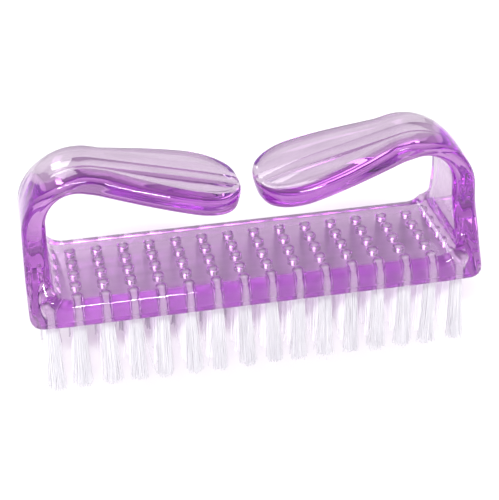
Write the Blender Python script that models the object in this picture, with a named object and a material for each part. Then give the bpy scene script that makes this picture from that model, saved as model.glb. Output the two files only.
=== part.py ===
"""Acrylic nail brush: one clear moulded body with two curled finger wings, nylon tufts and wire anchors.

Frame: +X along the brush, +Y across it, +Z up. The origin is on the floor under the middle of the
brush, in the plane of the bristle tips.
"""

import math

import bmesh
import bpy
from mathutils import Vector

MM = 0.001

# Base plate
LENGTH = 95.0 * MM
BASE_WIDTH = 29.0 * MM
BRISTLE_FREE_LENGTH = 17.5 * MM
BASE_THICKNESS = 5.4 * MM
BASE_TOP_EDGE_RADIUS = 2.3 * MM
BASE_BOTTOM_EDGE_RADIUS = 0.3 * MM
CORNER_RADIUS = 2.5 * MM

# Uprights at both ends of the base
UPRIGHT_THICKNESS = 5.0 * MM
UPRIGHT_LEAN = 0.25 * MM
FOOT_FILLET = 4.0 * MM
NECK_HALF_WIDTH = 8.7 * MM
FLARE_TOP = 33.0 * MM
FLARE_BOTTOM = 21.3 * MM
FLARE_EXPONENT = 1.35
UPRIGHT_EDGE_RADIUS = 1.7 * MM

# Bends and wings
BEND_START = 35.2 * MM
BEND_OUTER_RADIUS = 12.7 * MM
BEND_INNER_RADIUS = 6.4 * MM
WING_THICKNESS = 4.5 * MM
WING_SLOPE = math.radians(14.5)
WING_HALF_WIDTH = 12.2 * MM
WING_EDGE_RADIUS = 1.8 * MM
WING_WIDENS_FROM = 2.5 * MM
WING_WIDEST_AT = 23.0 * MM
TIP_GAP = 3.6 * MM
TIP_ROUND_LENGTH = 10.9 * MM
TIP_EXPONENT = 2.3
TIP_END_HALF_WIDTH = 1.2 * MM
TIP_END_THICKNESS = 0.45

# Bristle field
COLUMNS = 16
ROWS = 5
COLUMN_PITCH = 5.76 * MM
ROW_PITCH = 4.77 * MM
HOLE_RADIUS = 1.3 * MM
HOLE_ROOF = 1.6 * MM
HOLE_CONE_HEIGHT = 0.7 * MM
HOLE_CUTTER_OVERLAP = 1.0 * MM
HOLE_SIDES = 12

# Tufts: each one leaves its hole as a round bundle and flares towards the tips
TUFT_SIDES = 8
TUFT_ROOT_RADIUS = 1.0 * MM
TUFT_MOUTH_RADIUS = 1.35 * MM
TUFT_TIP_RADIUS = 1.85 * MM
TUFT_MOUTH_DROP = 1.6 * MM
STRAY_BAR_SIZE = 0.5 * MM
STRAY_BAR_HEIGHT = 1.6 * MM

# Wire anchors: a flat slip of wire across each hole, under the hole's roof
ANCHOR_WIDTH = 1.7 * MM
ANCHOR_THICKNESS = 0.4 * MM
ANCHOR_HEIGHT = 1.0 * MM
CLEARANCE = 0.3 * MM

# Mesh density
FOOT_STATIONS = 10
UPRIGHT_STATIONS = 6
BEND_STATIONS = 12
WING_STATIONS = 6
TIP_STATIONS = 8
EDGE_STEPS = 3
CORNER_STEPS = 6
EDGE_SHARE_LIMIT = 0.95
SHARP_EDGE_ANGLE = math.radians(35)

# Worked out from the driving dimensions
HALF_LENGTH = LENGTH / 2
BASE_BOTTOM = BRISTLE_FREE_LENGTH
BASE_TOP = BASE_BOTTOM + BASE_THICKNESS
INNER_X = HALF_LENGTH - UPRIGHT_THICKNESS
FILLET_X = INNER_X - FOOT_FILLET
FILLET_Z = BASE_TOP + FOOT_FILLET
BEND_TURN = math.pi / 2 + WING_SLOPE
WING_NORMAL = Vector((math.cos(BEND_TURN), math.sin(BEND_TURN)))
WING_DIRECTION = Vector((-WING_NORMAL.y, WING_NORMAL.x))
OUTER_CENTRE = Vector((HALF_LENGTH - UPRIGHT_LEAN - BEND_OUTER_RADIUS, BEND_START))
WING_UNDERSIDE = WING_NORMAL.dot(OUTER_CENTRE) + BEND_OUTER_RADIUS - WING_THICKNESS
INNER_CENTRE_X = INNER_X - UPRIGHT_LEAN - BEND_INNER_RADIUS
INNER_CENTRE_Z = (WING_UNDERSIDE - BEND_INNER_RADIUS - WING_NORMAL.x * INNER_CENTRE_X) / WING_NORMAL.y
INNER_CENTRE = Vector((INNER_CENTRE_X, INNER_CENTRE_Z))
HOLE_TOP = BASE_TOP - HOLE_ROOF
ANCHOR_TOP = HOLE_TOP - HOLE_CONE_HEIGHT - CLEARANCE


def clear_scene():
    for item in list(bpy.data.objects):
        bpy.data.objects.remove(item, do_unlink=True)


def make_material(name, colour, roughness, metallic=0.0, transmission=0.0):
    """A material of its own for one kind of sub-part."""
    material = bpy.data.materials.new(name)
    material.use_nodes = True
    shader = material.node_tree.nodes["Principled BSDF"]
    shader.inputs["Base Color"].default_value = (*colour, 1.0)
    shader.inputs["Roughness"].default_value = roughness
    shader.inputs["Metallic"].default_value = metallic
    shader.inputs["Transmission Weight"].default_value = transmission
    return material


def link_mesh(name, mesh, material=None, location=(0, 0, 0), parent=None):
    """One named object that shows the mesh."""
    item = bpy.data.objects.new(name, mesh)
    bpy.context.scene.collection.objects.link(item)
    item.location = location
    item.parent = parent
    if material and not mesh.materials:
        mesh.materials.append(material)
    return item


def mesh_from(bm, name, smooth=True):
    """The finished mesh of a bmesh, with its normals outwards and its flat corners kept sharp."""
    bmesh.ops.recalc_face_normals(bm, faces=bm.faces)
    mesh = bpy.data.meshes.new(name)
    bm.to_mesh(mesh)
    bm.free()
    if smooth:
        mesh.shade_smooth()
        mesh.set_sharp_from_angle(angle=SHARP_EDGE_ANGLE)
    return mesh


def smoothstep(value):
    """Eases from 0 to 1."""
    value = min(max(value, 0.0), 1.0)
    return value * value * (3 - 2 * value)


def arc(centre, radius, start, end, steps):
    """Points on an arc in the XZ plane, both ends included."""
    points = []
    for step in range(steps + 1):
        angle = start + (end - start) * step / steps
        points.append(Vector((centre[0] + radius * math.cos(angle), centre[1] + radius * math.sin(angle))))
    return points


def along(points, fraction):
    """The point at a fraction of the length of a polyline."""
    lengths = [(b - a).length for a, b in zip(points, points[1:])]
    left = fraction * sum(lengths)
    for start, end, length in zip(points, points[1:], lengths):
        if left <= length:
            return start.lerp(end, left / length)
        left -= length
    return points[-1]


def upright_half_width(height):
    """The uprights flare from the narrow neck out to the full width of the base."""
    share = min(max((FLARE_TOP - height) / (FLARE_TOP - FLARE_BOTTOM), 0.0), 1.0)
    return NECK_HALF_WIDTH + (BASE_WIDTH / 2 - NECK_HALF_WIDTH) * share ** FLARE_EXPONENT


def base_and_foot_stations():
    """From the middle of the base to the top of the inner fillet."""
    stations = [(Vector((x, BASE_BOTTOM)), Vector((x, BASE_TOP)), BASE_WIDTH / 2,
                 BASE_BOTTOM_EDGE_RADIUS, BASE_TOP_EDGE_RADIUS) for x in (0.0, FILLET_X / 2)]
    corner_centre = (HALF_LENGTH - CORNER_RADIUS, BASE_BOTTOM + CORNER_RADIUS)
    corner = arc(corner_centre, CORNER_RADIUS, -math.pi / 2, 0, CORNER_STEPS)
    outer_path = [Vector((FILLET_X, BASE_BOTTOM)), *corner, Vector((HALF_LENGTH, FILLET_Z))]
    inner_path = arc((FILLET_X, FILLET_Z), FOOT_FILLET, -math.pi / 2, 0, FOOT_STATIONS)
    for step, inner in enumerate(inner_path):
        fraction = step / FOOT_STATIONS
        outer = along(outer_path, fraction)
        share = smoothstep(fraction)
        outer_edge = BASE_BOTTOM_EDGE_RADIUS + (UPRIGHT_EDGE_RADIUS - BASE_BOTTOM_EDGE_RADIUS) * share
        inner_edge = BASE_TOP_EDGE_RADIUS + (UPRIGHT_EDGE_RADIUS - BASE_TOP_EDGE_RADIUS) * share
        stations.append((outer, inner, upright_half_width((outer.y + inner.y) / 2), outer_edge, inner_edge))
    return stations


def upright_stations():
    """The upright leans in a little between the fillet and the start of the bend."""
    stations = []
    for step in range(1, UPRIGHT_STATIONS + 1):
        fraction = step / UPRIGHT_STATIONS
        lean = UPRIGHT_LEAN * fraction
        outer = Vector((HALF_LENGTH - lean, FILLET_Z + (BEND_START - FILLET_Z) * fraction))
        inner = Vector((INNER_X - lean, FILLET_Z + (INNER_CENTRE.y - FILLET_Z) * fraction))
        stations.append((outer, inner, upright_half_width(outer.y), UPRIGHT_EDGE_RADIUS, UPRIGHT_EDGE_RADIUS))
    return stations


def bend_stations():
    """The round bend at the top of the upright; its inside is tighter than an even thickness would give."""
    outer_arc = arc(OUTER_CENTRE, BEND_OUTER_RADIUS, 0, BEND_TURN, BEND_STATIONS)
    inner_arc = arc(INNER_CENTRE, BEND_INNER_RADIUS, 0, BEND_TURN, BEND_STATIONS)
    return [(outer_arc[step], inner_arc[step], NECK_HALF_WIDTH, UPRIGHT_EDGE_RADIUS, UPRIGHT_EDGE_RADIUS)
            for step in range(1, BEND_STATIONS + 1)]


def wing_stations():
    """The wing slopes down towards the middle, widens, and ends in a round tongue."""
    outer_root = OUTER_CENTRE + WING_NORMAL * BEND_OUTER_RADIUS
    inner_root = INNER_CENTRE + WING_NORMAL * BEND_INNER_RADIUS
    length = (outer_root.x - WING_NORMAL.x * WING_THICKNESS / 2 - TIP_GAP / 2) / -WING_DIRECTION.x
    lag = (outer_root - inner_root).dot(WING_DIRECTION)
    straight = length - TIP_ROUND_LENGTH
    distances = [straight * step / WING_STATIONS for step in range(1, WING_STATIONS + 1)]
    for step in range(1, TIP_STATIONS + 1):
        distances.append(straight + TIP_ROUND_LENGTH * math.sin(math.pi / 2 * step / TIP_STATIONS))
    stations = []
    for distance in distances:
        spread = (distance - WING_WIDENS_FROM) / (WING_WIDEST_AT - WING_WIDENS_FROM)
        widening = math.sin(min(max(spread, 0.0), 1.0) * math.pi / 2)
        half_width = NECK_HALF_WIDTH + (WING_HALF_WIDTH - NECK_HALF_WIDTH) * widening
        into_tip = max(0.0, (distance - straight) / TIP_ROUND_LENGTH)
        half_width *= max(0.0, 1 - into_tip ** TIP_EXPONENT) ** (1 / TIP_EXPONENT)
        half_width = max(half_width, TIP_END_HALF_WIDTH)
        into_edge = max(0.0, 1 - (length - distance) / WING_EDGE_RADIUS)
        round_off = TIP_END_THICKNESS + (1 - TIP_END_THICKNESS) * math.sqrt(max(0.0, 1 - into_edge ** 2))
        sink = WING_NORMAL * (WING_THICKNESS / 2 * (1 - round_off))
        behind = WING_DIRECTION * (lag * max(0.0, 1 - distance / straight))
        top = outer_root + WING_DIRECTION * distance
        underside = top - WING_NORMAL * WING_THICKNESS - behind
        share = smoothstep(distance / straight)
        wing_edge = UPRIGHT_EDGE_RADIUS + (WING_EDGE_RADIUS - UPRIGHT_EDGE_RADIUS) * share
        most = EDGE_SHARE_LIMIT * min(WING_THICKNESS / 2 * round_off, half_width)
        edge = min(wing_edge, most)
        stations.append((top - sink, underside + sink, half_width, edge, edge))
    return stations


def ring_points(station, mirror):
    """A rounded rectangle across the strap, between its outer and its inner side."""
    outer, inner, half_width, outer_edge, inner_edge = station
    middle = (outer + inner) / 2
    up = (outer - inner).normalized()
    half_thickness = (outer - inner).length / 2
    points = []
    for quarter in range(4):
        corner_angle = math.pi / 4 + quarter * math.pi / 2
        sign_y = 1 if math.cos(corner_angle) > 0 else -1
        sign_t = 1 if math.sin(corner_angle) > 0 else -1
        edge = outer_edge if sign_t > 0 else inner_edge
        for step in range(EDGE_STEPS + 1):
            angle = quarter * math.pi / 2 + math.pi / 2 * step / EDGE_STEPS
            across = sign_y * (half_width - edge) + edge * math.cos(angle)
            lift = sign_t * (half_thickness - edge) + edge * math.sin(angle)
            place = middle + up * lift
            points.append(Vector((mirror * place.x, across, place.y)))
    return points


def hole_centres():
    """Column, row, x and y of every tuft hole."""
    for column in range(COLUMNS):
        for row in range(ROWS):
            x = (column - (COLUMNS - 1) / 2) * COLUMN_PITCH
            y = (row - (ROWS - 1) / 2) * ROW_PITCH
            yield column, row, x, y


def turned(bm, profile, sides, centre=(0.0, 0.0)):
    """A closed turned body: profile is (radius, z) from one end to the other, radius 0 makes a point."""
    rings = []
    for radius, z in profile:
        count = sides if radius > 0 else 1
        rings.append([bm.verts.new((centre[0] + radius * math.cos(2 * math.pi * (side + 0.5) / sides),
                                    centre[1] + radius * math.sin(2 * math.pi * (side + 0.5) / sides), z))
                      for side in range(count)])
    for low, high in zip(rings, rings[1:]):
        for side in range(sides):
            following = (side + 1) % sides
            if len(high) == 1:
                bm.faces.new((low[side], low[following], high[0]))
            else:
                bm.faces.new((low[side], low[following], high[following], high[side]))
    bm.faces.new(list(reversed(rings[0])))
    if len(rings[-1]) > 1:
        bm.faces.new(rings[-1])


def make_hole_cutter():
    """All tuft holes as one cutter: round holes with a drill point at their closed end."""
    bm = bmesh.new()
    profile = ((HOLE_RADIUS, BASE_BOTTOM - HOLE_CUTTER_OVERLAP),
               (HOLE_RADIUS, HOLE_TOP - HOLE_CONE_HEIGHT), (0.0, HOLE_TOP))
    for _, _, x, y in hole_centres():
        turned(bm, profile, HOLE_SIDES, (x, y))
    cutter = link_mesh("hole_cutter", mesh_from(bm, "hole_cutter"))
    cutter.hide_render = True
    cutter.display_type = "WIRE"
    return cutter


def make_body(parent):
    """One strap: wing, bend, upright, base, upright, bend and wing, with the tuft holes bored from below."""
    half = base_and_foot_stations() + upright_stations() + bend_stations() + wing_stations()
    rings = [ring_points(station, -1) for station in reversed(half[1:])]
    rings += [ring_points(station, 1) for station in half]
    bm = bmesh.new()
    loops = [[bm.verts.new(point) for point in ring] for ring in rings]
    for first, second in zip(loops, loops[1:]):
        for index in range(len(first)):
            following = (index + 1) % len(first)
            bm.faces.new((first[index], first[following], second[following], second[index]))
    bm.faces.new(loops[0])
    bm.faces.new(loops[-1])
    purple = make_material("clear_purple_plastic", (0.62, 0.22, 0.78), 0.06, transmission=0.9)
    body = link_mesh("brush_body", mesh_from(bm, "brush_body"), purple, parent=parent)
    bore = body.modifiers.new("tuft_holes", "BOOLEAN")
    bore.operation = "DIFFERENCE"
    bore.solver = "EXACT"
    bore.object = make_hole_cutter()


def box(bm, size, centre):
    """A plain box for the small flat wire slips and the bar that ties a tuft column."""
    corners = bmesh.ops.create_cube(bm, size=1.0)["verts"]
    bmesh.ops.scale(bm, vec=Vector(size), verts=corners)
    bmesh.ops.translate(bm, vec=Vector(centre), verts=corners)


def make_column_mesh(material):
    """Five flared tufts, tied near the tips by a thin bar that stands for their stray filaments."""
    bm = bmesh.new()
    tuft_top = ANCHOR_TOP - ANCHOR_HEIGHT - CLEARANCE
    profile = ((TUFT_TIP_RADIUS, 0.0), (TUFT_MOUTH_RADIUS, BASE_BOTTOM - TUFT_MOUTH_DROP),
               (TUFT_ROOT_RADIUS, BASE_BOTTOM - CLEARANCE), (TUFT_ROOT_RADIUS, tuft_top))
    for row in range(ROWS):
        turned(bm, profile, TUFT_SIDES, (0.0, (row - (ROWS - 1) / 2) * ROW_PITCH))
    column = link_mesh("column_draft", mesh_from(bm, "column_draft"))
    bm = bmesh.new()
    box(bm, (STRAY_BAR_SIZE, (ROWS - 1) * ROW_PITCH, STRAY_BAR_SIZE), (0.0, 0.0, STRAY_BAR_HEIGHT))
    bar = link_mesh("stray_bar", mesh_from(bm, "stray_bar"))
    tie = column.modifiers.new("tie", "BOOLEAN")
    tie.operation = "UNION"
    tie.solver = "EXACT"
    tie.object = bar
    bpy.context.view_layer.update()
    evaluated = column.evaluated_get(bpy.context.evaluated_depsgraph_get())
    mesh = bpy.data.meshes.new_from_object(evaluated)
    mesh.name = "tuft_column"
    mesh.materials.clear()
    mesh.materials.append(material)
    bpy.data.objects.remove(column, do_unlink=True)
    bpy.data.objects.remove(bar, do_unlink=True)
    return mesh


def make_tufts(parent):
    """Sixteen equal columns of tufts along the base."""
    nylon = make_material("white_nylon", (0.88, 0.86, 0.92), 0.45)
    mesh = make_column_mesh(nylon)
    for column in range(COLUMNS):
        x = (column - (COLUMNS - 1) / 2) * COLUMN_PITCH
        link_mesh(f"tuft_column_{column + 1:02d}", mesh, location=(x, 0, 0), parent=parent)


def make_anchors(parent):
    """The anchors of the front and the back row, one slip of wire in each hole."""
    bm = bmesh.new()
    box(bm, (ANCHOR_WIDTH, ANCHOR_THICKNESS, ANCHOR_HEIGHT), (0, 0, 0))
    mesh = mesh_from(bm, "wire_anchor", smooth=False)
    wire = make_material("anchor_wire", (0.62, 0.58, 0.5), 0.35, metallic=1.0)
    mesh.materials.append(wire)
    names = {0: "front", ROWS - 1: "back"}
    for column, row, x, y in hole_centres():
        if row in names:
            name = f"anchor_{names[row]}_{column + 1:02d}"
            link_mesh(name, mesh, location=(x, y, ANCHOR_TOP - ANCHOR_HEIGHT / 2), parent=parent)


def main():
    clear_scene()
    brush = bpy.data.objects.new("nail_brush", None)
    bpy.context.scene.collection.objects.link(brush)
    make_body(brush)
    make_tufts(brush)
    make_anchors(brush)
    bpy.context.view_layer.update()


main()
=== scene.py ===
"""Looks of the acrylic nail brush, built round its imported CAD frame.

The clear body is lofted again with fine rings, shallow flutes on the wings and domed tuft holes.
Every tuft is made of folded nylon filaments that loop over a wire anchor.
The brush stands on its bristle tips with its front at -Y, and the body is the same on the left and the right.
"""

import math
from collections import namedtuple

import bmesh
import bpy
import numpy as np
from mathutils import Matrix, Vector
from mathutils.geometry import delaunay_2d_cdt


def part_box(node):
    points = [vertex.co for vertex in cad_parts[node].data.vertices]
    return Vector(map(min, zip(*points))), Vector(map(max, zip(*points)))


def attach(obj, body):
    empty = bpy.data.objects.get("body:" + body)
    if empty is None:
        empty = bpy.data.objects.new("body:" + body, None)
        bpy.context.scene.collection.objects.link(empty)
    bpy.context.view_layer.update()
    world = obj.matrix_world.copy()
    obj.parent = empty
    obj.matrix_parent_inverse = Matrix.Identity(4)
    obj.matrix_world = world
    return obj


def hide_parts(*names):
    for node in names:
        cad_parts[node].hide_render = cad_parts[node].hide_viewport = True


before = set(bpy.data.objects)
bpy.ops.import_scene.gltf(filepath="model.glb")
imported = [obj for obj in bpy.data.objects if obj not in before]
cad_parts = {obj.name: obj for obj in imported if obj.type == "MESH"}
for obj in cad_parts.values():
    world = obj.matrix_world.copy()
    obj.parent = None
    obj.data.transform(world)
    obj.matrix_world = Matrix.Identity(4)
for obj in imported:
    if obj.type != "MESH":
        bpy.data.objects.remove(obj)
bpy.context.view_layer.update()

MM = 0.001
ROUNDING = 1e-7
MERGE_DISTANCE = 1e-8
BODY_LOW, BODY_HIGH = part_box("brush_body")

# The body is one strap: the base, a foot and an upright at each end, the bends and the wings. Its sizes are
# those of the CAD source. Points of its outline are (x, z) pairs on the right half.
HALF_LENGTH = BODY_HIGH.x
BASE_HALF_WIDTH = BODY_HIGH.y
BASE_BOTTOM = BODY_LOW.z
BASE_THICKNESS = 5.4 * MM
BASE_TOP = BASE_BOTTOM + BASE_THICKNESS
BASE_TOP_EDGE_RADIUS = 2.3 * MM
BASE_BOTTOM_EDGE_RADIUS = 0.3 * MM
CORNER_RADIUS = 2.5 * MM
UPRIGHT_THICKNESS = 5.0 * MM
UPRIGHT_LEAN = 0.25 * MM
FOOT_FILLET = 4.0 * MM
NECK_HALF_WIDTH = 8.7 * MM
FLARE_TOP = 33.0 * MM
FLARE_BOTTOM = 21.3 * MM
FLARE_EXPONENT = 1.35
UPRIGHT_EDGE_RADIUS = 1.7 * MM
BEND_START = 35.2 * MM
BEND_OUTER_RADIUS = 12.7 * MM
BEND_INNER_RADIUS = 6.4 * MM
WING_THICKNESS = 4.5 * MM
WING_SLOPE = math.radians(14.5)
WING_HALF_WIDTH = 12.2 * MM
WING_EDGE_RADIUS = 1.8 * MM
WING_WIDENS_FROM = 2.5 * MM
WING_WIDEST_AT = 23.0 * MM
TIP_GAP = 3.6 * MM
TIP_ROUND_LENGTH = 10.9 * MM
TIP_EXPONENT = 2.3
TIP_END_HALF_WIDTH = 1.2 * MM
TIP_END_THICKNESS = 0.45
FULL_ROUND = 0.95
INNER_X = HALF_LENGTH - UPRIGHT_THICKNESS
FILLET_X = INNER_X - FOOT_FILLET
FILLET_Z = BASE_TOP + FOOT_FILLET
BOTTOM_FLAT_END = HALF_LENGTH - CORNER_RADIUS
BEND_TURN = math.pi / 2 + WING_SLOPE
WING_NORMAL = Vector((math.cos(BEND_TURN), math.sin(BEND_TURN)))
WING_DIRECTION = Vector((-WING_NORMAL.y, WING_NORMAL.x))
OUTER_CENTRE = Vector((HALF_LENGTH - UPRIGHT_LEAN - BEND_OUTER_RADIUS, BEND_START))
WING_UNDERSIDE = WING_NORMAL.dot(OUTER_CENTRE) + BEND_OUTER_RADIUS - WING_THICKNESS
INNER_CENTRE_X = INNER_X - UPRIGHT_LEAN - BEND_INNER_RADIUS
INNER_CENTRE_Z = (WING_UNDERSIDE - BEND_INNER_RADIUS - WING_NORMAL.x * INNER_CENTRE_X) / WING_NORMAL.y
INNER_CENTRE = Vector((INNER_CENTRE_X, INNER_CENTRE_Z))
OUTER_ROOT = OUTER_CENTRE + WING_NORMAL * BEND_OUTER_RADIUS
INNER_ROOT = INNER_CENTRE + WING_NORMAL * BEND_INNER_RADIUS
WING_LENGTH = (OUTER_ROOT.x - WING_NORMAL.x * WING_THICKNESS / 2 - TIP_GAP / 2) / -WING_DIRECTION.x
WING_STRAIGHT = WING_LENGTH - TIP_ROUND_LENGTH

# The outer side of the wings is crowned, and rolls off towards its edges. Distances here and below are along
# the wing from the end of the bend, and those below zero are on the bend.
CROWN_LIFT = 0.4 * MM
CROWN_RISE_AT_ROOT = 0.8 * MM
CROWN_RISE_ON_WING = 0.45 * MM
CROWN_SETTLES_AT = 24.0 * MM
CROWN_FADE_START = -20.0 * MM
CROWN_FADE = 10.0 * MM
RIM_RISE = 0.18 * MM
RIM_EXPONENT = 10

# Flutes on the outer side of the bends and wings: four side by side, with narrow ridges between them
RIDGE_Y = 3.65 * MM
LEAST_FLUTE_WIDTH = 0.5 * MM
INNER_FLUTE_SLOPE = 0.167
OUTER_FLUTE_SLOPE = 0.2
BACK_FLUTE_SHARE = 0.35
FLUTE_RIM_AT_ROOT = 4.0 * MM
FLUTE_RIM_ON_WING = 2.7 * MM
FLUTE_END_WALL = 0.7 * MM
FLUTE_BEND_END = -10.5 * MM
FLUTE_BEND_FADE = 5.0 * MM

# Fineness of the loft
BASE_STEPS = 6
CORNER_STEPS = 12
FOOT_STEPS = 20
UPRIGHT_STEPS = 12
BEND_STEPS = 40
WING_STEPS = 26
TIP_STEPS = 44
INNER_LANE_STEPS = 12
OUTER_LANE_STEPS = 14
RIM_LANE_STEPS = 6
RIM_LANE = 2.7 * MM
ACROSS_OUTER = 2 * (INNER_LANE_STEPS + OUTER_LANE_STEPS + RIM_LANE_STEPS)
ACROSS_INNER = 20
ACROSS_SIDE = 3
ROUND_EDGE_STEPS = 7
SHARP_EDGE_ANGLE = math.radians(32)

# Tuft holes
COLUMNS = 16
ROWS = 5
ROW_PITCH = 4.77 * MM
HOLE_RADIUS = 1.3 * MM
HOLE_ROOF = 1.6 * MM
HOLE_TOP = BASE_TOP - HOLE_ROOF
HOLE_DOME = 1.3 * MM
HOLE_SIDES = 28
DOME_STEPS = 7

# Tufts: each filament goes up one leg, over the anchor and down the other leg. Places along a leg are shares
# of it, from 0 at the mouth of the hole to 1 at the tip, and what grows along it has an exponent. The taper
# and the cap of a cut end are in radii.
LOOPS_PER_TUFT = 42
FILAMENT_RADIUS = 0.1 * MM
FILAMENT_SIDES = 5
THICKNESS_RANGE = (0.9, 1.1)
CUT_END_TAPER = 0.7
CUT_END_CAP = 0.6
MOUTH_RADIUS = 1.14 * MM
FIRST_ANGLE_RANGE = 6
COLLAR_SPREAD = 1.1
COLLAR_LENGTH = 0.14
TIP_SPREAD = 1.45
TIP_SPREAD_RANGE = (0.9, 1.2)
SPREAD_GROWTH = 1.5
TUFT_LEAN = 0.28 * MM
LEAN_ACROSS = 0.6
LEAN_GROWTH = 1.4
FILAMENT_WANDER = 0.16 * MM
FILAMENT_BOW = 0.5 * FILAMENT_WANDER
STRAY_LEGS = 0.1
STRAY_WANDER = 4.2 * FILAMENT_WANDER
STRAY_GROWTH = 2.2
RAGGED_TIPS = 1.0 * MM
RAGGED_SHARE = 0.42
RAGGED_LIMIT = 1.2
OUTER_TIP_LIFT = 0.35 * MM
LEG_STATIONS = (1.0, 0.985, 0.86, 0.68, 0.5, 0.32, 0.16, 0.07, 0.0)
FOLD_WIDTH = 0.8
ANCHOR_CLEARANCE = 0.02 * MM
CREST_CLEARANCE = 0.03 * MM
CREST_PILE = 0.28 * MM
SHOULDER_LIFT = 0.05 * MM
SIDE_DROP = 0.15 * MM
ANCHOR_BEVEL = 0.06 * MM
SEED = 41

# The plastic is polished, but matt on its underside round the holes, less so at the underside's rim, and on
# the domes of the holes
POLISHED_ROUGHNESS = 0.035
UNDERSIDE_ROUGHNESS = 0.3
RIM_ROUGHNESS = 0.12
DOME_ROUGHNESS = 0.3
MATT_HALF_WIDTH = 11.2 * MM
SURFACE_MARGIN = 0.05 * MM

# The floor lies just under the tips, and the lights are aimed at the middle of the brush
FLOOR_HALF_SIZE = 3.0
FLOOR_GAP = 0.05 * MM
AIM_HEIGHT = 25 * MM

# The photograph's viewing angle: from the front, a little to the left and above, with a slight roll
CAMERA_AZIMUTH = -10.144
CAMERA_ELEVATION = 29.195
CAMERA_ROLL = math.radians(-1.674)
CAMERA_TARGET = Vector((0.182, 0.0, 22.381)) * MM
CAMERA_DISTANCE = 314.0 * MM
CAMERA_LENS = 106.2

# One section of the strap; its distance is None where it is neither on a bend nor on a wing
Station = namedtuple("Station", "outer inner half_width outer_edge inner_edge distance")


def smoothstep(value):
    """A soft step: 0 up to 0, 1 from 1 on."""
    value = np.clip(value, 0.0, 1.0)
    return value * value * (3 - 2 * value)


def arc(centre, radius, start, end, steps):
    angles = np.linspace(start, end, steps + 1)
    return [Vector((centre[0] + radius * math.cos(a), centre[1] + radius * math.sin(a))) for a in angles]


def along(points, fraction):
    """The point at a fraction of the length of a broken line."""
    lengths = [(b - a).length for a, b in zip(points, points[1:])]
    left = fraction * sum(lengths)
    for start, end, length in zip(points, points[1:], lengths):
        if left <= length:
            return start.lerp(end, left / length)
        left -= length
    return points[-1]


def upright_half_width(height):
    """The half width of an upright, which flares towards the base."""
    share = min(max((FLARE_TOP - height) / (FLARE_TOP - FLARE_BOTTOM), 0.0), 1.0)
    return NECK_HALF_WIDTH + (BASE_HALF_WIDTH - NECK_HALF_WIDTH) * share ** FLARE_EXPONENT


def wing_full_half_width(distance):
    """The wing's half width before its tip rounds off."""
    spread = (distance - WING_WIDENS_FROM) / (WING_WIDEST_AT - WING_WIDENS_FROM)
    widening = math.sin(min(max(spread, 0.0), 1.0) * math.pi / 2)
    return NECK_HALF_WIDTH + (WING_HALF_WIDTH - NECK_HALF_WIDTH) * widening


def tip_narrowing(distance):
    """The share of the wing's full width that its rounded tip leaves, from 1 down to 0 at its end."""
    into_tip = min(max((distance - WING_STRAIGHT) / TIP_ROUND_LENGTH, 0.0), 1.0)
    return (1 - into_tip ** TIP_EXPONENT) ** (1 / TIP_EXPONENT)


def wing_edge_radius(distance):
    share = smoothstep(distance / WING_STRAIGHT)
    return UPRIGHT_EDGE_RADIUS + (WING_EDGE_RADIUS - UPRIGHT_EDGE_RADIUS) * share


def foot_stations():
    """From the middle of the base to the top of the fillet, where the upright starts."""
    stations = [Station(Vector((x, BASE_BOTTOM)), Vector((x, BASE_TOP)), BASE_HALF_WIDTH,
                        BASE_BOTTOM_EDGE_RADIUS, BASE_TOP_EDGE_RADIUS, None)
                for x in np.linspace(0.0, FILLET_X, BASE_STEPS + 1)[:-1]]
    corner_centre = (BOTTOM_FLAT_END, BASE_BOTTOM + CORNER_RADIUS)
    corner = arc(corner_centre, CORNER_RADIUS, -math.pi / 2, 0, CORNER_STEPS)
    outer_path = [Vector((FILLET_X, BASE_BOTTOM)), *corner, Vector((HALF_LENGTH, FILLET_Z))]
    path_length = sum((b - a).length for a, b in zip(outer_path, outer_path[1:]))
    corner_share = (BOTTOM_FLAT_END - FILLET_X) / path_length
    before = max(round(FOOT_STEPS * corner_share), 1)
    fractions = [*np.linspace(0, corner_share, before + 1)]
    fractions += [*np.linspace(corner_share, 1, FOOT_STEPS - before + 1)[1:]]
    for fraction in fractions:
        turn = (fraction - 1) * math.pi / 2
        inner = Vector((FILLET_X + FOOT_FILLET * math.cos(turn), FILLET_Z + FOOT_FILLET * math.sin(turn)))
        outer = along(outer_path, fraction)
        share = smoothstep(fraction)
        outer_edge = BASE_BOTTOM_EDGE_RADIUS + (UPRIGHT_EDGE_RADIUS - BASE_BOTTOM_EDGE_RADIUS) * share
        inner_edge = BASE_TOP_EDGE_RADIUS + (UPRIGHT_EDGE_RADIUS - BASE_TOP_EDGE_RADIUS) * share
        half_width = upright_half_width((outer.y + inner.y) / 2)
        stations.append(Station(outer, inner, half_width, outer_edge, inner_edge, None))
    return stations


def upright_and_bend_stations():
    stations = []
    edge = UPRIGHT_EDGE_RADIUS
    for step in range(1, UPRIGHT_STEPS + 1):
        fraction = step / UPRIGHT_STEPS
        lean = UPRIGHT_LEAN * fraction
        outer = Vector((HALF_LENGTH - lean, FILLET_Z + (BEND_START - FILLET_Z) * fraction))
        inner = Vector((INNER_X - lean, FILLET_Z + (INNER_CENTRE.y - FILLET_Z) * fraction))
        stations.append(Station(outer, inner, upright_half_width(outer.y), edge, edge, None))
    outer_arc = arc(OUTER_CENTRE, BEND_OUTER_RADIUS, 0, BEND_TURN, BEND_STEPS)
    inner_arc = arc(INNER_CENTRE, BEND_INNER_RADIUS, 0, BEND_TURN, BEND_STEPS)
    for step in range(1, BEND_STEPS + 1):
        distance = -BEND_OUTER_RADIUS * BEND_TURN * (1 - step / BEND_STEPS)
        stations.append(Station(outer_arc[step], inner_arc[step], NECK_HALF_WIDTH, edge, edge, distance))
    return stations


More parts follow.
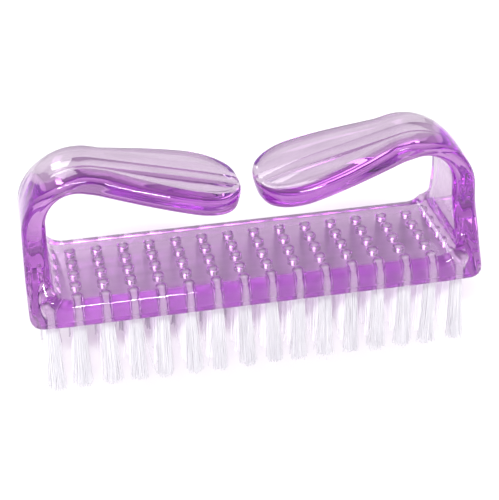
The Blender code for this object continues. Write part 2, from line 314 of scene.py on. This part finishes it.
def wing_stations():
    lag = (OUTER_ROOT - INNER_ROOT).dot(WING_DIRECTION)
    distances = [WING_STRAIGHT * step / WING_STEPS for step in range(1, WING_STEPS + 1)]
    for step in range(1, TIP_STEPS + 1):
        distances.append(WING_STRAIGHT + TIP_ROUND_LENGTH * math.sin(math.pi / 2 * step / TIP_STEPS))
    stations = []
    for distance in distances:
        half_width = max(wing_full_half_width(distance) * tip_narrowing(distance), TIP_END_HALF_WIDTH)
        into_edge = max(0.0, 1 - (WING_LENGTH - distance) / WING_EDGE_RADIUS)
        round_off = TIP_END_THICKNESS + (1 - TIP_END_THICKNESS) * math.sqrt(max(0.0, 1 - into_edge ** 2))
        sink = WING_NORMAL * (WING_THICKNESS / 2 * (1 - round_off))
        behind = WING_DIRECTION * (lag * max(0.0, 1 - distance / WING_STRAIGHT))
        top = OUTER_ROOT + WING_DIRECTION * distance
        underside = top - WING_NORMAL * WING_THICKNESS - behind
        roundest = min(WING_THICKNESS / 2 * round_off, half_width) * FULL_ROUND
        edge = min(wing_edge_radius(distance), roundest)
        stations.append(Station(top - sink, underside + sink, half_width, edge, edge, distance))
    return stations


def flute_limit(distance):
    """How far from the middle the outer flutes reach."""
    half_width = wing_full_half_width(distance) * tip_narrowing(distance)
    share = float(smoothstep(distance / CROWN_SETTLES_AT))
    return half_width - (FLUTE_RIM_AT_ROOT + (FLUTE_RIM_ON_WING - FLUTE_RIM_AT_ROOT) * share)


def flute_depth(y, distance):
    """How deep the flutes are at y, at a distance along the wing from the end of the bend."""
    if distance is None:
        return np.zeros_like(y)
    limit = max(flute_limit(min(distance, WING_STRAIGHT)), RIDGE_Y + LEAST_FLUTE_WIDTH)
    depth = np.zeros_like(y)
    for low, high, slope in ((0, RIDGE_Y, INNER_FLUTE_SLOPE), (RIDGE_Y, limit, OUTER_FLUTE_SLOPE)):
        middle, half = (low + high) / 2, (high - low) / 2
        hollow = np.clip(1 - ((np.abs(y) - middle) / half) ** 2, 0.0, 1.0)
        depth = np.maximum(depth, slope * half / 2 * hollow)
    step = 0.05 * MM
    narrowing = (flute_limit(distance - step) - flute_limit(distance + step)) / (2 * step)
    from_outline = (flute_limit(distance) - np.abs(y)) / math.sqrt(1 + max(narrowing, 0.0) ** 2)
    ends = smoothstep((distance - FLUTE_BEND_END) / FLUTE_BEND_FADE)
    if distance > WING_STRAIGHT:
        ends = ends * smoothstep(from_outline / FLUTE_END_WALL)
    return depth * ends * np.where(y > 0, BACK_FLUTE_SHARE, 1.0)


def squeezed(values):
    """Keeps values up to 0.85 and squeezes the rest in below 1, so that rows of points stay apart."""
    size = np.abs(values)
    if size.max() <= 1:
        return values
    keep, room = 0.85, 0.15
    farthest = 1 - math.exp(-(size.max() - keep) / room)
    inside = keep + room * (1 - np.exp(-(size - keep) / room)) / farthest
    return np.sign(values) * np.where(size < keep, size, inside)


def lanes(full, rim):
    """Places across the outer side from +full to -full, close together at the ridges and the flutes' rims."""
    edges = [(0.0, RIDGE_Y, INNER_LANE_STEPS), (RIDGE_Y, rim, OUTER_LANE_STEPS), (rim, full, RIM_LANE_STEPS)]
    places = [0.0]
    for low, high, steps in edges:
        for step in range(1, steps + 1):
            places.append(low + (high - low) * (1 - math.cos(math.pi * step / steps)) / 2)
    places = np.array(places)
    return np.concatenate([places[::-1], -places[1:]])


def crowned(half_width, radius, rises):
    """A crowned side: its tilt where the round edge starts, how far out that is, and its drop at any y."""
    tilt = 0.0
    # The tilt and the limit depend on each other, and settle in a few rounds
    for _ in range(6):
        limit = half_width - radius * (1 - math.sin(tilt))
        tilt = math.atan(sum(rise * exponent for rise, exponent in rises) / limit)
    return tilt, limit, lambda y: sum(rise * np.abs(y / limit) ** exponent for rise, exponent in rises)


def rounded_edge(half_width, radius, tilt, top):
    """The round edge of a side, from the given tilt on: its points as (y, lift)."""
    turns = np.linspace(tilt, math.pi / 2, ROUND_EDGE_STEPS + 1)
    middle = top - radius * math.cos(tilt)
    return [(half_width - radius * (1 - math.sin(turn)), middle + radius * math.cos(turn)) for turn in turns]


def crown_rises(station):
    """How much the outer side bulges, as its lift in the middle and its (rise, exponent) terms."""
    if station.distance is None:
        return 0.0, [(0.0, 2)]
    share = float(smoothstep(station.distance / CROWN_SETTLES_AT))
    rise = CROWN_RISE_AT_ROOT + (CROWN_RISE_ON_WING - CROWN_RISE_AT_ROOT) * share
    fade = float(smoothstep((station.distance - CROWN_FADE_START) / CROWN_FADE))
    narrow = min(station.half_width / wing_full_half_width(station.distance), 1.0)
    lift = CROWN_LIFT * fade * narrow ** 2
    return lift, [(rise * fade * narrow ** 2, 2), (RIM_RISE * fade * narrow, RIM_EXPONENT)]


def ring(station, mirror):
    """One section across the strap: a rounded rectangle, crowned and fluted where the real one is."""
    outer, inner, half_width = station.outer, station.inner, station.half_width
    half_thickness = (outer - inner).length / 2
    lift, rises = crown_rises(station)
    tilt, limit, drop = crowned(half_width, station.outer_edge, rises)
    full, rim = limit, limit - RIM_LANE
    if station.distance is not None:
        full = max(limit, wing_full_half_width(station.distance) - WING_EDGE_RADIUS)
        rim = flute_limit(min(station.distance, WING_STRAIGHT))
    across = squeezed(lanes(full, rim) / limit) * limit
    heights = half_thickness + lift - drop(across) - flute_depth(across, station.distance)
    points = list(zip(across, heights))
    outer_top = half_thickness + lift - float(drop(limit))
    outer_round = rounded_edge(half_width, station.outer_edge, tilt, outer_top)

    inner_limit = half_width - station.inner_edge
    inner_round = [(y, -z) for y, z in rounded_edge(half_width, station.inner_edge, 0.0, half_thickness)]
    side = np.linspace(outer_round[-1][1], inner_round[-1][1], ACROSS_SIDE + 1)[1:-1]
    inner_places = np.linspace(-inner_limit, inner_limit, ACROSS_INNER + 1)[1:-1]
    inner_flat = [(y, -half_thickness) for y in inner_places]
    flank = outer_round[1:] + [(half_width, z) for z in side] + inner_round[::-1]
    points += [(-y, z) for y, z in flank] + inner_flat + flank[::-1]
    middle = (outer + inner) / 2
    up = (outer - inner).normalized()
    return [Vector((mirror * (middle.x + up.x * z), y, middle.y + up.y * z)) for y, z in points]


def new_object(name, mesh, material, replaced=()):
    """A piece of the object, which stands for the CAD nodes that it replaces."""
    item = bpy.data.objects.new(name, mesh)
    bpy.context.scene.collection.objects.link(item)
    mesh.materials.append(material)
    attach(item, "root")
    if replaced:
        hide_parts(*replaced)


def column_x(column):
    low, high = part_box(f"tuft_column_{column + 1:02d}")
    return (low.x + high.x) / 2


def row_y(row):
    return (row - (ROWS - 1) / 2) * ROW_PITCH


def hole_circles():
    """Each hole's centre and the points round its rim."""
    turns = np.arange(HOLE_SIDES) * 2 * math.pi / HOLE_SIDES
    centres = [(column_x(column), row_y(row)) for column in range(COLUMNS) for row in range(ROWS)]
    return [(x, y, np.stack([x + HOLE_RADIUS * np.cos(turns), y + HOLE_RADIUS * np.sin(turns)], axis=1))
            for x, y in centres]


def bore_hole(bm, rim, x, y):
    """The wall and the domed end of one tuft hole, from its rim upwards."""
    lower = rim
    for turn in np.linspace(0, math.pi / 2, DOME_STEPS + 1)[:-1]:
        shrink, z = math.cos(turn), HOLE_TOP - HOLE_DOME + HOLE_DOME * math.sin(turn)
        upper = [bm.verts.new((x + (v.co.x - x) * shrink, y + (v.co.y - y) * shrink, z)) for v in rim]
        for side in range(HOLE_SIDES):
            after = (side + 1) % HOLE_SIDES
            bm.faces.new((lower[side], lower[after], upper[after], upper[side]))
        lower = upper
    crown = bm.verts.new((x, y, HOLE_TOP))
    for side in range(HOLE_SIDES):
        bm.faces.new((lower[side], lower[(side + 1) % HOLE_SIDES], crown))


def fill_bottom(bm, outline):
    """Closes the flat underside of the base between its outline and the rims of the holes."""
    circles = hole_circles()
    rims = [[bm.verts.new((px, py, BASE_BOTTOM)) for px, py in points] for _, _, points in circles]
    verts = list(outline)
    edges = [(index, (index + 1) % len(outline)) for index in range(len(outline))]
    rim_numbers = [None] * len(outline)
    for number, rim in enumerate(rims):
        first = len(verts)
        verts += rim
        rim_numbers += [number] * len(rim)
        edges += [(first + index, first + (index + 1) % len(rim)) for index in range(len(rim))]
    flat = [Vector((v.co.x, v.co.y)) for v in verts]
    _, _, triangles, origins, _, _ = delaunay_2d_cdt(flat, edges, [], 1, MERGE_DISTANCE)
    original = [origin[0] for origin in origins]
    for triangle in triangles:
        corners = [original[index] for index in triangle]
        owners = {rim_numbers[corner] for corner in corners}
        if len(owners) > 1 or None in owners:
            bm.faces.new([verts[corner] for corner in corners])
    for rim, (x, y, _) in zip(rims, circles):
        bore_hole(bm, rim, x, y)


def body_mesh():
    """The loft of the strap from tip to tip. Its flat underside is left open, then filled round the holes."""
    half = foot_stations() + upright_and_bend_stations() + wing_stations()
    bm = bmesh.new()
    loops = [[bm.verts.new(point) for point in ring(station, -1)] for station in reversed(half[1:])]
    loops += [[bm.verts.new(point) for point in ring(station, 1)] for station in half]
    flat = sum(station.outer.x < BOTTOM_FLAT_END + ROUNDING and station.outer.y < BASE_BOTTOM + ROUNDING
               for station in half)
    first, last = len(half) - flat, len(half) - 2 + flat
    for number, (near, far) in enumerate(zip(loops, loops[1:])):
        for index in range(len(near)):
            if first <= number < last and index < ACROSS_OUTER:
                continue
            after = (index + 1) % len(near)
            bm.faces.new((near[index], near[after], far[after], far[index]))
    bm.faces.new(loops[0])
    bm.faces.new(loops[-1])
    outline = loops[first][:ACROSS_OUTER + 1]
    outline += [loop[ACROSS_OUTER] for loop in loops[first + 1:last]]
    outline += loops[last][ACROSS_OUTER::-1]
    outline += [loop[0] for loop in loops[last - 1:first:-1]]
    fill_bottom(bm, outline)
    inside = [v for loop in loops[first + 1:last] for v in loop[1:ACROSS_OUTER]]
    bmesh.ops.delete(bm, geom=inside, context="VERTS")
    bmesh.ops.recalc_face_normals(bm, faces=bm.faces)
    mesh = bpy.data.meshes.new("clear_body")
    bm.to_mesh(mesh)
    bm.free()
    mesh.shade_smooth()
    mesh.set_sharp_from_angle(angle=SHARP_EDGE_ANGLE)
    return mesh


def tube_mesh(paths, radii, name):
    """Closed tubes of FILAMENT_SIDES sides along paths, an array of (tube, point, 3)."""
    tubes, count = paths.shape[:2]
    tangents = np.gradient(paths, axis=1)
    tangents /= np.linalg.norm(tangents, axis=2, keepdims=True)
    side = np.array([1.0, 0.0, 0.0]) - tangents * tangents[..., :1]
    side /= np.linalg.norm(side, axis=2, keepdims=True)
    other = np.cross(tangents, side)
    turns = np.arange(FILAMENT_SIDES) * 2 * math.pi / FILAMENT_SIDES
    cosines, sines = np.cos(turns)[:, None], np.sin(turns)[:, None]
    round_points = cosines * side[:, :, None, :] + sines * other[:, :, None, :]
    rings = paths[:, :, None, :] + round_points * radii[..., None, None]
    vertices = rings.reshape(tubes, -1, 3)
    ends = np.stack([paths[:, 0] - tangents[:, 0] * radii[:, :1] * CUT_END_CAP,
                     paths[:, -1] + tangents[:, -1] * radii[:, -1:] * CUT_END_CAP], axis=1)
    vertices = np.concatenate([vertices, ends], axis=1)
    per_tube = vertices.shape[1]
    faces = []
    for point in range(count - 1):
        for turn in range(FILAMENT_SIDES):
            after = (turn + 1) % FILAMENT_SIDES
            low, high = point * FILAMENT_SIDES, (point + 1) * FILAMENT_SIDES
            faces.append((low + turn, low + after, high + after, high + turn))
    last = (count - 1) * FILAMENT_SIDES
    caps = []
    for turn in range(FILAMENT_SIDES):
        after = (turn + 1) % FILAMENT_SIDES
        caps.append((after, turn, per_tube - 2))
        caps.append((last + turn, last + after, per_tube - 1))
    everything = []
    for tube in range(tubes):
        base = tube * per_tube
        everything += [tuple(base + corner for corner in face) for face in faces]
        everything += [tuple(base + corner for corner in face) for face in caps]
    mesh = bpy.data.meshes.new(name)
    mesh.from_pydata(vertices.reshape(-1, 3).tolist(), [], everything)
    mesh.shade_smooth()
    return mesh


def leg_paths(rng, mouths, centre, lean, spread):
    """Points of each leg from its tip up to the mouth of the hole, as (leg, point, 3)."""
    legs = len(mouths)
    wander = rng.normal(0, FILAMENT_WANDER, (legs, 2))
    stray = (rng.random(legs) < STRAY_LEGS)[:, None] * rng.normal(0, STRAY_WANDER, (legs, 2))
    bow = rng.normal(0, FILAMENT_BOW, (legs, 2))
    lift = RAGGED_TIPS * np.abs(rng.normal(0, RAGGED_SHARE, legs)).clip(0, RAGGED_LIMIT)
    lift += OUTER_TIP_LIFT * (np.linalg.norm(mouths, axis=1) / MOUTH_RADIUS) ** 2
    paths = np.zeros((legs, len(LEG_STATIONS), 3))
    for index, share in enumerate(LEG_STATIONS):
        collar = 1 + (COLLAR_SPREAD - 1) * float(smoothstep(share / COLLAR_LENGTH))
        opened = collar + (spread - COLLAR_SPREAD) * share ** SPREAD_GROWTH
        offset = mouths * opened + (wander + lean) * share ** LEAN_GROWTH + stray * share ** STRAY_GROWTH
        offset += bow * math.sin(math.pi * share)
        paths[:, index, :2] = centre + offset
        paths[:, index, 2] = BASE_BOTTOM - (BASE_BOTTOM - lift) * share
    return paths


def fold_paths(near, far, centre, crest):
    """Points of each filament from its near leg over the anchor to its far leg, as (filament, point, 3)."""
    low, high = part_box("anchor_front_01")
    clear = (high.y - low.y) / 2 + FILAMENT_RADIUS + ANCHOR_CLEARANCE
    near_y, far_y = np.minimum(near[:, 1], -clear), np.maximum(far[:, 1], clear)
    middle_x = (near[:, 0] + far[:, 0]) / 2 * FOLD_WIDTH
    shoulder = (crest + high.z) / 2 + SHOULDER_LIFT
    # Steps up one side: how much of the leg's x and y offset is left, and the height
    climb = [(1.0, 1.0, low.z), (0.4335, 0.85, high.z - SIDE_DROP), (0.15, 0.5, shoulder)]
    points = [(near[:, 0], near_y, *step) for step in climb]
    points.append((middle_x, near_y, 0.0, 0.0, crest))
    points += [(far[:, 0], far_y, *step) for step in reversed(climb)]
    fold = np.zeros((len(near), len(points), 3))
    for index, (leg_x, leg_y, x_share, y_share, height) in enumerate(points):
        fold[:, index, 0] = centre[0] + middle_x + (leg_x - middle_x) * x_share
        fold[:, index, 1] = centre[1] + leg_y * y_share
        fold[:, index, 2] = height
    return fold


def tuft_paths(rng, x, y):
    """Filaments of one tuft, folded over the anchor: (filament, point, 3)."""
    legs = 2 * LOOPS_PER_TUFT
    order = np.arange(legs) + 0.5
    golden_angle = math.pi * (3 - math.sqrt(5))
    angles = order * golden_angle + rng.random() * FIRST_ANGLE_RANGE
    reach = MOUTH_RADIUS * np.sqrt(order / legs)
    mouths = np.stack([reach * np.cos(angles), reach * np.sin(angles)], axis=1)
    mouths = mouths[np.argsort(mouths[:, 1])]
    near, far = mouths[:LOOPS_PER_TUFT], mouths[LOOPS_PER_TUFT:]
    near, far = near[np.argsort(near[:, 0])], far[np.argsort(far[:, 0])]
    lean = rng.normal(0, TUFT_LEAN, 2) * np.array([1.0, LEAN_ACROSS])
    spread = TIP_SPREAD * rng.uniform(*TIP_SPREAD_RANGE)
    centre = np.array([x, y])
    near_leg = leg_paths(rng, near, centre, lean, spread)
    far_leg = leg_paths(rng, far, centre, lean, spread)
    anchor_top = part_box("anchor_front_01")[1].z
    crest = anchor_top + FILAMENT_RADIUS + CREST_CLEARANCE + rng.uniform(0.0, CREST_PILE, LOOPS_PER_TUFT)
    return np.concatenate([near_leg, fold_paths(near, far, centre, crest), far_leg[:, ::-1]], axis=1)


def make_column(column, material):
    """The five tufts of one column as one piece, which stands for the column's CAD solid."""
    rng = np.random.default_rng(SEED + column)
    x = column_x(column)
    paths = np.concatenate([tuft_paths(rng, x, row_y(row)) for row in range(ROWS)])
    radii = np.full(paths.shape[:2], FILAMENT_RADIUS)
    radii *= rng.uniform(*THICKNESS_RANGE, (len(radii), 1))
    radii[:, [0, -1]] *= CUT_END_TAPER
    name = f"bristles_column_{column + 1:02d}"
    node = f"tuft_column_{column + 1:02d}"
    new_object(name, tube_mesh(paths, radii, name), material, replaced=[node])


def make_middle_anchors(material):
    """The wire anchors of the three middle rows, which the CAD leaves out."""
    low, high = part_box("anchor_front_01")
    size, z = high - low, (low.z + high.z) / 2
    for row in range(1, ROWS - 1):
        bm = bmesh.new()
        for column in range(COLUMNS):
            slip = bmesh.ops.create_cube(bm, size=1.0)["verts"]
            bmesh.ops.scale(bm, vec=size, verts=slip)
            bmesh.ops.translate(bm, vec=(column_x(column), row_y(row), z), verts=slip)
        bmesh.ops.bevel(bm, geom=bm.edges[:], offset=ANCHOR_BEVEL, segments=2, affect="EDGES")
        mesh = bpy.data.meshes.new(f"anchors_row_{row + 1}")
        bm.to_mesh(mesh)
        bm.free()
        mesh.shade_smooth()
        new_object(f"anchors_row_{row + 1}", mesh, material)


def shader_tree(name):
    material = bpy.data.materials.new(name)
    material.use_nodes = True
    tree = material.node_tree
    return material, tree, tree.nodes["Principled BSDF"]


def add_noise(tree, scale, stretch=(1, 1, 1), detail=3.0):
    """A noise texture in object space; stretch below 1 draws it out along that axis."""
    place = tree.nodes.new("ShaderNodeTexCoord")
    mapping = tree.nodes.new("ShaderNodeMapping")
    mapping.inputs["Scale"].default_value = stretch
    noise = tree.nodes.new("ShaderNodeTexNoise")
    noise.inputs["Scale"].default_value = scale
    noise.inputs["Detail"].default_value = detail
    tree.links.new(place.outputs["Object"], mapping.inputs["Vector"])
    tree.links.new(mapping.outputs["Vector"], noise.inputs["Vector"])
    return noise


def add_ramp(tree, source, low, high, start=0.35, end=0.65):
    """A colour ramp. It starts and ends where noise seldom goes past, unless told otherwise."""
    ramp = tree.nodes.new("ShaderNodeValToRGB")
    ramp.color_ramp.elements[0].position = start
    ramp.color_ramp.elements[0].color = (*low, 1)
    ramp.color_ramp.elements[1].position = end
    ramp.color_ramp.elements[1].color = (*high, 1)
    tree.links.new(source, ramp.inputs["Fac"])
    return ramp


def add_range(tree, source, low, high):
    """A noise's usual span turned into one from low to high."""
    spread = tree.nodes.new("ShaderNodeMapRange")
    spread.inputs["From Min"].default_value = 0.3
    spread.inputs["From Max"].default_value = 0.7
    spread.inputs["To Min"].default_value = low
    spread.inputs["To Max"].default_value = high
    tree.links.new(source, spread.inputs["Value"])
    return spread


def math_node(tree, operation, first, second=None):
    """A Math node's result; its second input is a number, another node's output or not used."""
    node = tree.nodes.new("ShaderNodeMath")
    node.operation = operation
    tree.links.new(first, node.inputs[0])
    if isinstance(second, float):
        node.inputs[1].default_value = second
    elif second is not None:
        tree.links.new(second, node.inputs[1])
    return node.outputs["Value"]


def object_position(tree):
    """The Y and Z of a point of the piece, which are those of the brush."""
    place = tree.nodes.new("ShaderNodeTexCoord")
    split = tree.nodes.new("ShaderNodeSeparateXYZ")
    tree.links.new(place.outputs["Object"], split.inputs["Vector"])
    return split.outputs["Y"], split.outputs["Z"]


def within(tree, offset, reach):
    """1 where an offset from the middle, either way, is less than reach, and 0 past it."""
    return math_node(tree, "LESS_THAN", math_node(tree, "ABSOLUTE", offset), reach)


def add_bump(tree, shader, source, strength, distance):
    bump = tree.nodes.new("ShaderNodeBump")
    bump.inputs["Strength"].default_value = strength
    bump.inputs["Distance"].default_value = distance
    tree.links.new(source, bump.inputs["Height"])
    tree.links.new(bump.outputs["Normal"], shader.inputs["Normal"])


def let_light_through(tree, shader, tints):
    """Rays of these kinds pass straight through, tinted, where the shader would stop or bend them."""
    path = tree.nodes.new("ShaderNodeLightPath")
    surface = shader.outputs["BSDF"]
    for ray, colour in tints.items():
        clear = tree.nodes.new("ShaderNodeBsdfTransparent")
        clear.inputs["Color"].default_value = (*colour, 1)
        mix = tree.nodes.new("ShaderNodeMixShader")
        tree.links.new(path.outputs[ray], mix.inputs["Fac"])
        tree.links.new(surface, mix.inputs[1])
        tree.links.new(clear.outputs["BSDF"], mix.inputs[2])
        surface = mix.outputs["Shader"]
    tree.links.new(surface, tree.nodes["Material Output"].inputs["Surface"])


def add_matt_places(tree, roughness):
    """Adds to a roughness on the underside of the base and on the domes of the tuft holes."""
    y, z = object_position(tree)
    inside = within(tree, y, MATT_HALF_WIDTH)
    underside = math_node(tree, "LESS_THAN", z, BASE_BOTTOM + SURFACE_MARGIN)
    more = math_node(tree, "MULTIPLY", inside, UNDERSIDE_ROUGHNESS - RIM_ROUGHNESS)
    underside = math_node(tree, "MULTIPLY", underside, math_node(tree, "ADD", more, RIM_ROUGHNESS))
    above = math_node(tree, "GREATER_THAN", z, HOLE_TOP - HOLE_DOME)
    below = math_node(tree, "LESS_THAN", z, HOLE_TOP + SURFACE_MARGIN)
    domes = math_node(tree, "MULTIPLY", math_node(tree, "MULTIPLY", above, below), inside)
    domes = math_node(tree, "MULTIPLY", domes, DOME_ROUGHNESS)
    return math_node(tree, "ADD", roughness, math_node(tree, "ADD", underside, domes))


def plastic_material():
    """Clear purple moulding: coloured by its depth, with faint flow lines along the brush."""
    material, tree, shader = shader_tree("clear_purple_plastic")
    flow = add_noise(tree, 420.0, (0.12, 1.0, 1.0))
    tint = add_ramp(tree, flow.outputs["Fac"], (0.59, 0.59, 0.58), (0.68, 0.68, 0.67))
    tree.links.new(tint.outputs["Color"], shader.inputs["Base Color"])
    rough = add_range(tree, add_noise(tree, 900.0).outputs["Fac"], 0.0, POLISHED_ROUGHNESS)
    tree.links.new(add_matt_places(tree, rough.outputs["Result"]), shader.inputs["Roughness"])
    add_bump(tree, shader, flow.outputs["Fac"], 0.05, 0.2 * MM)
    shader.inputs["IOR"].default_value = 1.53
    shader.inputs["Transmission Weight"].default_value = 1.0
    absorb = tree.nodes.new("ShaderNodeVolumeAbsorption")
    absorb.inputs["Color"].default_value = (0.86, 0.39, 0.94, 1)
    absorb.inputs["Density"].default_value = 92.0
    tree.links.new(absorb.outputs["Volume"], tree.nodes["Material Output"].inputs["Volume"])
    tints = {"Is Shadow Ray": (0.74, 0.67, 0.75), "Is Diffuse Ray": (0.96, 0.95, 0.965)}
    let_light_through(tree, shader, tints)
    return material


def nylon_material():
    """White filaments with painted light: their colour is whiter in their holes and in the middle rows,
    standing in for the light that scatters there.
    """
    material, tree, shader = shader_tree("white_nylon")
    noise = add_noise(tree, 700.0, (1.0, 1.0, 0.15))
    y, z = object_position(tree)
    # Painted light: the colour goes to near white inside the holes, and partway there in the three middle
    # rows, where the tufts lie in shade
    in_holes_painted_light = math_node(tree, "GREATER_THAN", z, BASE_BOTTOM)
    middle_rows_painted_light = math_node(tree, "MULTIPLY", within(tree, y, 1.5 * ROW_PITCH), 0.5)
    painted_light_share = math_node(tree, "MAXIMUM", in_holes_painted_light, middle_rows_painted_light)
    shade = math_node(tree, "ADD", noise.outputs["Fac"], painted_light_share)
    tint = add_ramp(tree, shade, (0.62, 0.61, 0.65), (0.70, 0.69, 0.72))
    # The near-white stop, which mostly the painted light reaches
    painted_light_white = tint.color_ramp.elements.new(0.9)
    painted_light_white.color = (0.93, 0.92, 0.95, 1)
    tree.links.new(tint.outputs["Color"], shader.inputs["Base Color"])
    rough = add_range(tree, noise.outputs["Fac"], 0.35, 0.5)
    tree.links.new(rough.outputs["Result"], shader.inputs["Roughness"])
    shader.inputs["IOR"].default_value = 1.5
    tints = {"Is Shadow Ray": (0.985, 0.98, 0.985), "Is Diffuse Ray": (0.97, 0.965, 0.973)}
    let_light_through(tree, shader, tints)
    return material


def wire_material():
    material, tree, shader = shader_tree("anchor_wire")
    noise = add_noise(tree, 3000.0, (0.2, 1.0, 1.0))
    tint = add_ramp(tree, noise.outputs["Fac"], (0.5, 0.48, 0.44), (0.78, 0.76, 0.71))
    tree.links.new(tint.outputs["Color"], shader.inputs["Base Color"])
    rough = add_range(tree, noise.outputs["Fac"], 0.28, 0.5)
    tree.links.new(rough.outputs["Result"], shader.inputs["Roughness"])
    add_bump(tree, shader, noise.outputs["Fac"], 0.2, 0.02 * MM)
    shader.inputs["Metallic"].default_value = 1.0
    return material


def floor_material():
    material, tree, shader = shader_tree("studio_floor")
    noise = add_noise(tree, 30.0)
    tint = add_ramp(tree, noise.outputs["Fac"], (0.95, 0.95, 0.95), (0.97, 0.97, 0.97))
    tree.links.new(tint.outputs["Color"], shader.inputs["Base Color"])
    shader.inputs["Roughness"].default_value = 0.7
    shader.inputs["Specular IOR Level"].default_value = 0.2
    return material


def make_floor():
    bm = bmesh.new()
    bmesh.ops.create_grid(bm, x_segments=8, y_segments=8, size=FLOOR_HALF_SIZE)
    mesh = bpy.data.meshes.new("floor")
    bm.to_mesh(mesh)
    bm.free()
    floor = bpy.data.objects.new("floor", mesh)
    floor.location.z = -FLOOR_GAP
    mesh.materials.append(floor_material())
    bpy.context.scene.collection.objects.link(floor)


def direction(azimuth, elevation):
    """Unit vector from the object towards a point seen at that azimuth (0 is the front) and elevation."""
    a, e = math.radians(azimuth), math.radians(elevation)
    return Vector((math.sin(a) * math.cos(e), -math.cos(a) * math.cos(e), math.sin(e)))


def make_light(name, azimuth, elevation, distance, size, power):
    """A white rectangular light that faces the brush."""
    lamp = bpy.data.lights.new(name, "AREA")
    lamp.shape = "RECTANGLE"
    lamp.size, lamp.size_y = size
    lamp.energy = power
    item = bpy.data.objects.new(name, lamp)
    away = direction(azimuth, elevation)
    item.location = away * distance + Vector((0, 0, AIM_HEIGHT))
    item.rotation_euler = away.to_track_quat("Z", "Y").to_euler()
    bpy.context.scene.collection.objects.link(item)


def make_camera():
    back = direction(CAMERA_AZIMUTH, CAMERA_ELEVATION)
    right = Vector((0, 0, 1)).cross(back).normalized()
    up = back.cross(right)
    turned_right = right * math.cos(CAMERA_ROLL) + up * math.sin(CAMERA_ROLL)
    turned_up = up * math.cos(CAMERA_ROLL) - right * math.sin(CAMERA_ROLL)
    camera = bpy.data.objects.new("camera", bpy.data.cameras.new("camera"))
    camera.data.lens = CAMERA_LENS
    camera.data.sensor_width = 36.0
    camera.data.clip_start = 0.01
    camera.data.clip_end = 20.0
    axes = Matrix((turned_right, turned_up, back)).transposed()
    camera.matrix_world = Matrix.Translation(CAMERA_TARGET + back * CAMERA_DISTANCE) @ axes.to_4x4()
    bpy.context.scene.collection.objects.link(camera)
    bpy.context.scene.camera = camera


def make_world():
    """A white studio whose walls near the floor are brighter than its ceiling."""
    world = bpy.data.worlds.new("studio")
    bpy.context.scene.world = world
    world.use_nodes = True
    tree = world.node_tree
    place = tree.nodes.new("ShaderNodeTexCoord")
    split = tree.nodes.new("ShaderNodeSeparateXYZ")
    tree.links.new(place.outputs["Generated"], split.inputs["Vector"])
    sky = add_ramp(tree, split.outputs["Z"], (1.0, 1.0, 1.0), (0.45, 0.45, 0.47), start=0.35, end=0.85)
    background = tree.nodes["Background"]
    tree.links.new(sky.outputs["Color"], background.inputs["Color"])
    background.inputs["Strength"].default_value = 0.78


def main():
    scene = bpy.context.scene
    scene.view_settings.view_transform = "Standard"
    scene.cycles.max_bounces = 32
    scene.cycles.transmission_bounces = 32
    scene.cycles.transparent_max_bounces = 32
    scene.cycles.glossy_bounces = 12
    scene.cycles.diffuse_bounces = 8
    plastic = plastic_material()
    new_object("clear_body", body_mesh(), plastic, replaced=["brush_body"])
    nylon = nylon_material()
    for column in range(COLUMNS):
        make_column(column, nylon)
    wire = wire_material()
    make_middle_anchors(wire)
    for name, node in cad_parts.items():
        if name.startswith("anchor_"):
            node.data.materials.clear()
            node.data.materials.append(wire)
    make_floor()
    make_world()
    make_light("key_strip", azimuth=-14, elevation=41, distance=2.4, size=(1.44, 0.2), power=64.0)
    make_light("back_softbox", azimuth=-160, elevation=40, distance=0.6, size=(0.2, 0.3), power=0.8)
    make_camera()


main()
